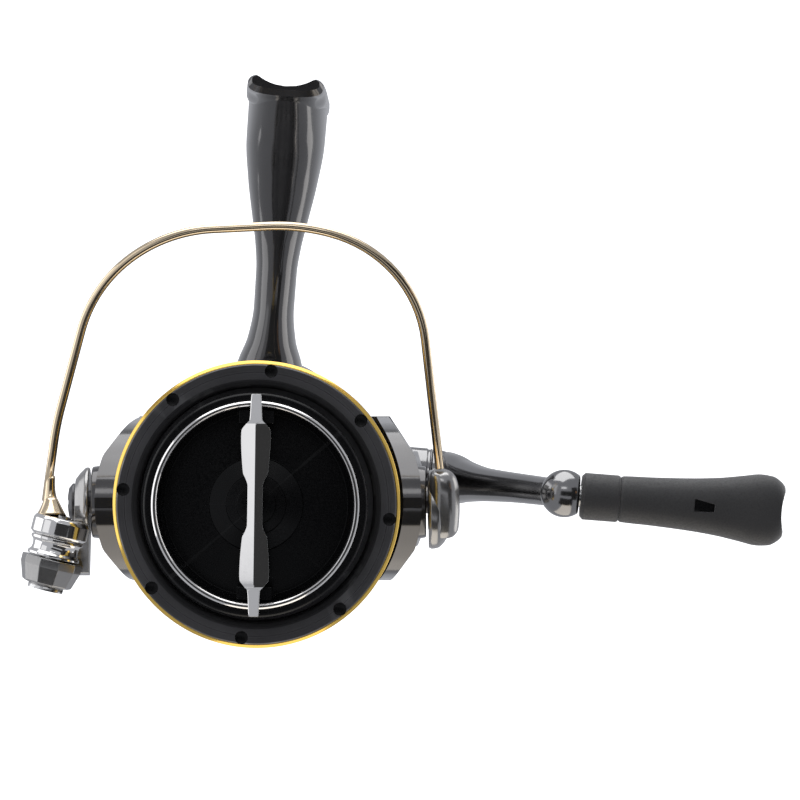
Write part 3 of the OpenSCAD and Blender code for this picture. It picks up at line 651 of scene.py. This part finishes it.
# ---------- rotor ----------
ARM_OUT, ARM_IN = 29.35, 26.02  # the round faces of the rotor arms
FLANK_Z, FLANK_X, FLANK_SLOPE = 8.6, 28.06, 0.7  # where and how their flanks fall away
PANEL_OUT, PANEL_IN = 30.08, 29.2
ARM_WIDTH = [  # y, half width
    [-65.2, 1.0], [-64.6, 3.2], [-62.5, 6.2], [-60, 8.6], [-57, 10.8], [-52, 13.2], [-45, 14.3],
    [-30, 15.1], [-17.1, 15.4],
]
PANEL_WIDTH = [[-48.3, 3.6], [-47.6, 4.9], [-45, 6.5], [-34, 7.9], [-23.6, 8.9], [-23.05, 8.5]]
ROOT = [(18, -15.4), (23.5, -15.4), (28.0, -8.6), (28.0, 8.6), (23.5, 15.4), (18, 15.4)]


def rotor_parts():
    cup = lathe(
        "cup",
        [[3.9, -36.5], [20.2, -36.5], [20.2, -43.8], [21.9, -43.8], [21.9, -20.5], [24.8, -20.5],
         [25.2, -20.1], [25.2, -17.4], [24.8, -17], [17.2, -17], [17.2, -33.5], [3.9, -33.5]],
        ROTOR, 0.35,
    )
    shells = [cup]
    for side in (-1, 1):
        loops = []
        for y, h in flow(ARM_WIDTH, 70):
            outer, inner = [], []
            for i in range(25):
                z = h * (i / 12 - 1)
                x = math.sqrt(ARM_OUT**2 - z * z)
                if abs(z) > FLANK_Z:
                    x = min(x, FLANK_X - FLANK_SLOPE * (abs(z) - FLANK_Z))
                base = math.sqrt(ARM_IN**2 - z * z)
                outer.append((side * max(x, base + 0.9), y, z))
                inner.append((side * base, y, z))
            loops.append(outer + inner[::-1])
        shells.append(skin("arm", loops, ROTOR))
        root = [(side * x, z) for x, z in ROOT]
        shells.append(slab("root", root, -20.4, -17.1, ROTOR, "y"))
        boss = [(0, 26.7), (6.9, 26.7), (6.4, 30.15), (2.1, 30.15), (2.1, 29), (0, 29)]
        outline = [[r, side * x] for r, x in boss]
        shells.append(lathe("boss", outline, PIVOT, 0.3, 3, 72, "x"))
    finished(soften(joined("rotor_shell", shells), 0.35, 3, 50), "black_gloss", "rotor", "rotor")

    panels = []
    for side in (-1, 1):
        loops = []
        for y, h in flow(PANEL_WIDTH, 40):
            steps = [h * (i / 8 - 1) for i in range(17)]
            outer = [(side * math.sqrt(PANEL_OUT**2 - z**2), y, z) for z in steps]
            inner = [(side * math.sqrt(PANEL_IN**2 - z**2), y, z) for z in steps]
            loops.append(outer + inner[::-1])
        panels.append(skin("panel", loops, ROTOR))
    finished(soften(joined("arm_panels", panels), 0.25, 3, 50), "gunmetal", "rotor", "arm_covers")

    heads = []
    for side in (-1, 1):
        screw = [(0, 26.9), (2, 26.9), (2, 33.2), (3.4, 33.2), (3.4, 33.7), (2.6, 34.35),
                 (1.4, 34.55), (0, 34.6)]
        head = lathe("head", [[r, side * x] for r, x in screw], PIVOT, 0.12, 3, 64, "x")
        low, high = sorted((side * 34.1, side * 36))
        carve(head, [block("c", low, high, -2.4, 2.4, -0.4, 0.4, PIVOT)])
        heads.append(head)
    heads = soften(joined("pivot_heads", heads), 0.06, 2)
    finished(heads, "dark_metal", "rotor", "pivot_screws")


rotor_parts()

# ---------- bail ----------
# corners of the wire in the bail's plane, and the radius of the bend at each inner one
WIRE = [(-37.96, 0.49), (-35.91, 14.49), (-28.58, 41.45), (-14.51, 50.5), (7.47, 51.61),
        (28.2, 46.07), (32.52, 6.58)]
BENDS = [60, 25, 26.2, 35, 22.9]
WIRE_R = 0.8


def wire_line():
    """Points along the wire through its bends, in the bail's plane."""
    line = [Vector(WIRE[0])]
    for i in range(1, len(WIRE) - 1):
        before = (Vector(WIRE[i]) - Vector(WIRE[i - 1])).normalized()
        after = (Vector(WIRE[i + 1]) - Vector(WIRE[i])).normalized()
        turn = before.angle(after)
        reach = BENDS[i - 1] * math.tan(turn / 2)
        start = Vector(WIRE[i]) - before * reach
        inward = Vector((before.y, -before.x))
        centre = start + inward * BENDS[i - 1]
        arm = start - centre
        for k in range(17):
            c, s = math.cos(-turn * k / 16), math.sin(-turn * k / 16)
            line.append(centre + Vector((arm.x * c - arm.y * s, arm.x * s + arm.y * c)))
    line.append(Vector(WIRE[-1]))
    return line


def bail_parts():
    points = [(p.x, p.y, 0) for p in wire_line()]
    bow = tube("bail_bow", points, [WIRE_R] * len(points), BAIL, 28)
    finished(soften(bow, 0), "bail_chrome", "bail", "bail_wire")

    # the cone runs from the roller's collar into the start of the wire
    collar = lathe(
        "collar",
        [[1.5, 1.9], [4.6, 1.9], [5.1, 2.4], [5.1, 4.7], [4.7, 5.35], [3.9, 5.5], [1.5, 5.5]],
        ROLLER, 0.3, 4, 96, "z",
    )
    inverse = DESIGN.inverted()
    start = inverse @ ROLLER @ Vector((-2.1, 0, 5.3))
    over = inverse @ ROLLER @ Vector((-2.1, 0, 6.6))
    end = inverse @ BAIL @ Vector((WIRE[0][0] + 0.35, WIRE[0][1] + 2.2, 0))
    far = inverse @ BAIL @ Vector((WIRE[0][0] + 0.9, WIRE[0][1] + 4.6, 0))
    path, radii = [], []
    for k in range(25):
        f = k / 24
        path.append(start.lerp(over, min(1, f * 2)).lerp(end.lerp(far, max(0, f * 2 - 1)), f))
        radii.append(0.83 + 1.95 * (1 - f) ** 2.2)
    cone = tube("cone", path, radii, DESIGN, 40, (0, 1, 0))
    finished(soften(collar, 0), "chrome", "bail", "wire_cone")
    finished(soften(cone, 0), "bail_chrome", "bail")

    # lever: pivot dome, tail plate, bridge and the faceted end block
    dome = lathe(
        "dome", [[2.06, -30.6], [6.3, -30.6], [6.3, -31.3, 0.6], [5.2, -32.4, 0.8], [4.2, -33.15],
                 [2.06, -33.15]], PIVOT, 0.3, 4, 96, "x",
    )
    plate = rounded([[-62.4, -0.5], [-61.2, -12.6], [-56.4, -13.3], [-51.6, -2.5]], 1.5, 5)
    tail = slab("tail", plate, -33.1, -30.6, ROTOR, "x")
    knee = Vector((-32.5, -58.6, -11))
    foot = ROTOR.inverted() @ ROLLER @ Vector((-0.3, 0, -4.6))
    points, radii = [], []
    for k in range(13):
        f = k / 12
        points.append(knee.lerp(foot, f))
        radii.append(1.85 + 1.55 * f)
    bridge = tube("bridge", points, radii, ROTOR, 32)
    turns = [math.radians(36 * i) for i in range(10)]
    loops = []
    for z, r in ((-6.8, 3.9), (-6.5, 4.5), (-3.7, 5.42), (-3.5, 5.5), (-2.1, 5.5), (-2.0, 5.35)):
        loops.append([(r * math.cos(a), r * math.sin(a), z) for a in turns])
    nub = skin("nub", loops, ROLLER)
    lever = soften(joined("bail_lever", [dome, tail, bridge, nub]), 0.22, 3, 25)
    finished(lever, "holder_metal", "bail", "arm_lever", slot="gunmetal")

    holder = loft(
        "holder",
        [
            [30.6, -59.6, -1.2, 8.3, 6.9, 2.3],
            [31.1, -59.65, -1.25, 8.5, 7.1, 2.3],
            [32.2, -59.7, -1.3, 8.3, 6.9, 2.3],
            [33.3, -59.6, -1.5, 7.2, 5.8, 2.2],
            [34, -59.3, -1.8, 5.2, 4.4, 2.1],
        ],
        ROTOR, "x", 24, 72,
    )
    carve(holder, [bore(3.7, 33.2, 40, PIVOT, "x", 48)])
    socket = loft(
        "socket",
        [
            [-6.3, 33.0, 0, 1.5, 1.5, 2],
            [-5.9, 33.1, 0, 2.2, 2.3, 2],
            [-4.6, 33.2, 0, 2.75, 3.0, 2.1],
            [-1, 33.25, 0, 2.9, 3.3, 2.2],
            [2.5, 33.2, 0, 2.8, 3.1, 2.1],
            [4.6, 33.05, 0, 2.45, 2.6, 2],
            [5.7, 32.8, 0, 1.9, 1.9, 2],
            [6.15, 32.6, 0, 1.2, 1.2, 2],
        ],
        BAIL, "y", 40, 56,
    )
    holder = soften(joined("wire_holder", [holder, socket]), 0.2, 3, 40)
    finished(holder, "holder_metal", "bail", "bail_holder")

    roller = lathe(
        "roller",
        [[3, -1.75], [4.72, -1.75], [4.72, -1.25], [4.25, -0.75, 0.5], [4.1, 0, 1.5],
         [4.25, 0.75, 0.5], [4.72, 1.25], [4.72, 1.75], [3, 1.75]],
        ROLLER, 0.15, 4, 96, "z",
    )
    finished(soften(roller, 0), "chrome", "line_roller", "line_roller")


bail_parts()


# ---------- spool ----------
SOCKETS, SOCKET_CIRCLE, SOCKET_R = 8, 23.7, 1.15


def spool_parts():
    body = lathe(
        "spool_core",
        [[15, -72.4], [20.8, -72.4], [20.8, -75.9], [22.4, -75.9], [22.4, -70.9], [19, -70.2],
         [19, -55.9], [19.9, -55.1], [24.9, -54.4], [25.3, -54], [25.3, -51.5], [25.05, -51.2],
         [25.05, -50.7], [25.3, -50.4], [25.3, -30.5], [25, -30.2], [23.7, -30.2], [23.7, -52.8],
         [17.4, -52.8], [17.4, -61], [7, -61], [7, -53], [4.1, -53], [4.1, -63], [15, -63]],
        DESIGN, 0.2, 3, 180,
    )
    finished(soften(body, 0), "dark_anodised", "spool", "spool_body")
    lip = lathe(
        "spool_rim",
        [[22.4, -75.9], [24.95, -75.9], [25.5, -75.35], [25.5, -73.8], [24.9, -72.6],
         [22.4, -71]],
        DESIGN, 0.3, 5, 220,
    )
    finished(soften(lip, 0), "gold", "spool", "spool_lip")
    ring = lathe(
        "face_ring",
        [[20.85, -75.95], [24.8, -75.95], [24.8, -76.4], [24.6, -76.6], [22.1, -76.6],
         [21.2, -76.3], [20.85, -75.98]],
        DESIGN, 0.06, 3, 220,
    )
    # the black cups that floor the socket holes are painted shade: dark plastic put in place of the
    # shadow inside each hole
    cup = [[0, -76.02], [1.05, -76.02], [1.05, -76.5], [1.2, -76.5], [1.2, -75.95], [0, -75.95]]
    pins, shade_floors = [], []
    for i in range(SOCKETS):
        turn = Matrix.Rotation(math.radians(1.9 - i * 360 / SOCKETS), 4, "Y")
        at = DESIGN @ turn @ Matrix.Translation((SOCKET_CIRCLE, 0, 0))
        pins.append(bore(SOCKET_R, -77.5, -75, at, "y"))
        shade_floors.append(lathe("cup", cup, at, 0.03, 2, 32, "y"))
    carve(ring, pins)
    # flat shading on the flat front keeps the cut edges clean
    for poly in ring.data.polygons:
        poly.use_smooth = abs(poly.normal.y) < 0.999
    finished(ring, "dark_anodised", "spool", "front_ring")
    # black plastic on the socket floors is painted shade standing in for the holes' shadow
    finished(soften(joined("socket_shade_floors", shade_floors), 0), "black_plastic", "spool")


spool_parts()


# ---------- drag knob ----------
RIBS, RIB_DEPTH = 36, 0.35
BAR = [  # z, half width, from the tip to the middle
    [-19.5, 0.8], [-19.3, 0.86], [-15, 1.12], [-14.2, 1.8], [-13.1, 2.55], [-12, 2.6],
    [-5.7, 2.2], [-4.6, 1.7], [-3.4, 1.35], [0, 1.33],
]
BAR_TIP = 14.4  # beyond this the bar is flat on top, inside it comes to a ridge
RING_IN = 17.1  # beyond this the bar lies over the bright ring


def ribbed(a, r, h):
    """Grip ribs round the outer wall of the drag knob."""
    if r > 19 and -82.4 < h < -74.2:
        return r - RIB_DEPTH * max(0.0, math.cos(RIBS * a)) ** 2
    return r


def drag_parts():
    bowl = lathe(
        "bowl",
        [[0, -76], [6.5, -76], [6.5, -73], [19.2, -73], [19.7, -73.5], [19.7, -74.2, 0],
         [19.7, -76, 0], [19.7, -80, 0], [19.7, -82.3, 0], [19.7, -83], [19.4, -83.3],
         [18.3, -83.3], [18.3, -82.9], [17.2, -82.9], [17, -78], [16.2, -76.9], [8.3, -77.4],
         [8.3, -77.8], [5.3, -78], [5.3, -78.3], [3.5, -78.3], [3.5, -78.8], [0, -78.8]],
        KNOB, 0.15, 3, 432, "y", ribbed,
    )
    web = block("web", -1.1, 1.1, -82.4, -76.95, -17.05, 17.05, KNOB)
    ends = [
        block("end", -3.1, 3.1, -82.4, -76.6, *sorted((s * 14.4, s * 16.7)), KNOB) for s in (-1, 1)
    ]
    cup = soften(joined("drag_cup", [bowl, web, *ends]), 0.12, 2, 50)
    finished(cup, "black_plastic", "drag_knob", "drag_knob")
    ring = lathe(
        "bright_ring",
        [[17.3, -82.9], [18.3, -82.9], [18.3, -83.7], [18, -84], [17.6, -84], [17.3, -83.7]],
        DESIGN, 0.15, 4, 220,
    )
    finished(soften(ring, 0), "chrome", "drag_knob", "knob_ring")

    loops = []
    for z, w in flow(BAR + [[-z, w] for z, w in BAR[-2::-1]], 190):
        foot = -84.08 if abs(z) > RING_IN else -82.5
        tip = min(1.0, max(0.0, (abs(z) - BAR_TIP) / 0.5))
        top = -85.97 + 0.75 * max(0.0, abs(z) - 14.0) / 5.5
        crest = 0.07 + (w - 0.12 - 0.07) * tip
        shoulder = top + (0.5 * w) * (1 - tip) + 0.1 * tip
        flank = [(w, foot, z), (w, shoulder, z), (crest, top, z)]
        loops.append([(-x, y, z) for x, y, z in flank] + flank[::-1])
    bar = skin("bright_bar", loops, KNOB)
    finished(soften(bar, 0.08, 2, 20), "chrome", "drag_knob", "knob_bar")


drag_parts()


# ---------- handle ----------
ARM = [  # y, centre x and z, half width and height
    [-51, 53.8, 5.7, 1.8, 2.3],
    [-47, 52.4, 5.8, 2.2, 2.55],
    [-34, 47, 5.85, 2.3, 2.75],
    [-20, 41.2, 5.8, 2.5, 3.15],
    [-11, 37.6, 5.95, 2.7, 3.9],
    [-5, 35.4, 6.15, 2.8, 4.7],
    [0, 34, 6.3, 2.7, 4.9],
    [3.2, 33.6, 6.4, 2.2, 4.1],
    [4.6, 33.6, 6.4, 1.5, 3.2],
]
CHANNEL_MID, CHANNEL_HALF, CHANNEL_DEPTH = 0.3, 0.85, 0.45  # groove along the arm's outer face
BALL_R, BALL_FLAT = 4.35, 2.7
HANDGRIP = [  # x, centre y and z, half sizes, squareness
    [65.08, 0, 0, 3.95, 3.95, 2],
    [65.5, 0, 0, 4.2, 4.2, 2],
    [71, 0, 0, 4.3, 4.4, 2.1],
    [78, 0, 0, 4.5, 4.8, 2.2],
    [83, 0, 0, 4.8, 5.3, 2.3],
    [87, 0, 0, 5.1, 5.95, 2.4],
    [90.5, 0, 0, 5.3, 6.5, 2.5],
    [92.6, 0, 0, 5.1, 6.3, 2.5],
    [94.2, 0, 0, 4.7, 5.4, 2.4],
    [94.9, 0, 0, 4.2, 4.6, 2.3],
    [95.15, 0, 0, 3.9, 4.0, 2.3],
]
GRIP_END, DISH_DEPTH, DISH_HALF = 95.15, 0.85, 4.3
WINDOW = [(78.5, -1.2), (82.2, -0.95), (82.2, 0.4), (79.1, 1.05), (78.5, 1.15)]


def dish(v):
    """How far out the grip's hollowed end reaches at v from its middle."""
    return GRIP_END - DISH_DEPTH * max(0.0, 1 - (v / DISH_HALF) ** 2)


def handle_parts():
    shank = lathe(
        "shank",
        [[0, -12.8], [2.6, -12.8], [2.6, 15.2], [6.1, 15.2], [6.1, 16.9], [5.7, 17.4], [5.2, 17.6],
         [5.2, 29.9], [5.0, 30.1], [5.0, 30.5], [5.2, 30.7], [5.2, 30.8], [0, 30.8]],
        DRIVE, 0.2, 4, 96, "x",
    )
    finished(soften(shank, 0), "gunmetal", "handle", "handle_shank")

    hub = lathe(
        "hub", [[0, 30.85], [5.2, 30.85], [5.2, 31.7], [4.9, 33.2], [3.9, 36.8, 1.5], [0, 36.85]],
        DRIVE, 0.3, 4, 96, "x",
    )
    loops = []
    for y, x, z, w, h in flow(ARM, 64):
        loop = []
        for u, v in oval(w, h, 2.8, 72):
            if u > 0 and -48 < y < -8 and abs(v - CHANNEL_MID) < CHANNEL_HALF:
                u -= CHANNEL_DEPTH
            loop.append((x + u, y, z + v))
        loops.append(loop)
    arm = skin("arm", loops, DESIGN)
    profile = []
    for k in range(25):
        a = math.pi * k / 24
        profile.append([max(0.0, BALL_R * math.sin(a)), min(-BALL_R * math.cos(a), BALL_FLAT)])
    ball = lathe("ball", profile, GRIP @ Matrix.Translation((55, 0, 0.2)), 0, 1, 96, "x")
    crank = soften(joined("crank", [hub, arm, ball]), 0.15, 3, 60)
    finished(crank, "gunmetal", "handle", "handle_arm")

    collar = lathe(
        "collar", [[2.4, 58], [3.7, 58], [4.27, 58.6], [4.27, 64.6], [4.1, 65], [2.4, 65]],
        GRIP, 0.25, 4, 96, "x",
    )
    finished(soften(collar, 0), "grip_rubber", "knob", "knob_collar")

    loops = [
        [(min(x, dish(v)), a + u, b + v) for u, v in oval(w, h, n, 80)]
        for x, a, b, w, h, n in flow(HANDGRIP, 110)
    ]
    rim = oval(*HANDGRIP[-1][3:], 80)
    for f in (0.94, 0.86, 0.7, 0.5, 0.3, 0.12):
        loops.append([(dish(v * f) - 0.02 * (1 - f), u * f, v * f) for u, v in rim])
    grip = skin("grip", loops, GRIP)
    carve(grip, [slab("window", WINDOW, -3.72, -7, GRIP, "y")])
    finished(soften(grip, 0.18, 3, 50), "grip_rubber", "knob", "knob_grip")


handle_parts()

# ---------- carried-over nodes ----------
for node, obj in frame["nodes"].items():
    obj.data.materials.clear()
    obj.data.materials.append(LOOKS[NODE_SLOT[node]])
    if not obj.hide_render:
        weld = obj.modifiers.new("weld", "WELD")
        weld.merge_threshold = 0.000004
        soften(obj, 0.05, 1, 50)
